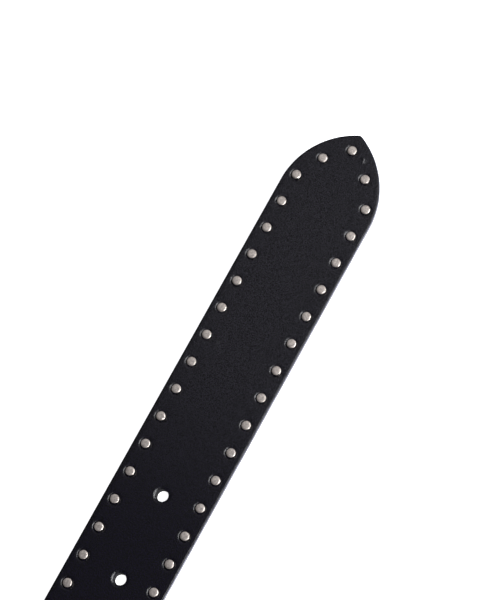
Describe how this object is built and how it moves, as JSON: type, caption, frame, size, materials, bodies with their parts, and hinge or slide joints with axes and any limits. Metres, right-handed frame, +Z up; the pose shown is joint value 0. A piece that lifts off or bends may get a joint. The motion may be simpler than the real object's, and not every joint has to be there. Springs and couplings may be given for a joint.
{
  "type": "studded belt",
  "caption": "Flat leather waist belt with a pointed tip, small flat studs along both edges, buckle holes, a keeper loop and a plain prong buckle, lying straight.",
  "frame": {"origin": "middle of the ground that the belt covers, on the surface that it lies on", "axes": "+X along the belt towards the pointed tip, +Y across it towards the left edge, +Z up, the way the studs look"},
  "size_m": [1.0736, 0.055, 0.0127],
  "materials": {
    "strap_leather": "smooth black finished grain leather with a soft sheen, painted and burnished edges",
    "keeper_leather": "smooth black finished grain leather with a soft sheen",
    "stud_metal": "warm nickel plate, satin top with a polished rim",
    "buckle_metal": "satin nickel plate"
  },
  "bodies": {
    "root": {"strap": "strap_leather", "keeper": "keeper_leather", "buckle": "buckle_metal", "stud_tip": "stud_metal", "stud_arc_left": "stud_metal", "stud_left_01": "stud_metal", "stud_left_02": "stud_metal", "stud_left_03": "stud_metal", "stud_left_04": "stud_metal", "stud_left_05": "stud_metal", "stud_left_06": "stud_metal", "stud_left_07": "stud_metal", "stud_left_08": "stud_metal", "stud_left_09": "stud_metal", "stud_left_10": "stud_metal", "stud_left_11": "stud_metal", "stud_left_12": "stud_metal", "stud_left_13": "stud_metal", "stud_left_14": "stud_metal", "stud_left_15": "stud_metal", "stud_left_16": "stud_metal", "stud_arc_right": "stud_metal", "stud_right_01": "stud_metal", "stud_right_02": "stud_metal", "stud_right_03": "stud_metal", "stud_right_04": "stud_metal", "stud_right_05": "stud_metal", "stud_right_06": "stud_metal", "stud_right_07": "stud_metal", "stud_right_08": "stud_metal", "stud_right_09": "stud_metal", "stud_right_10": "stud_metal", "stud_right_11": "stud_metal", "stud_right_12": "stud_metal", "stud_right_13": "stud_metal", "stud_right_14": "stud_metal", "stud_right_15": "stud_metal", "stud_right_16": "stud_metal"}
  },
  "joints": []
}
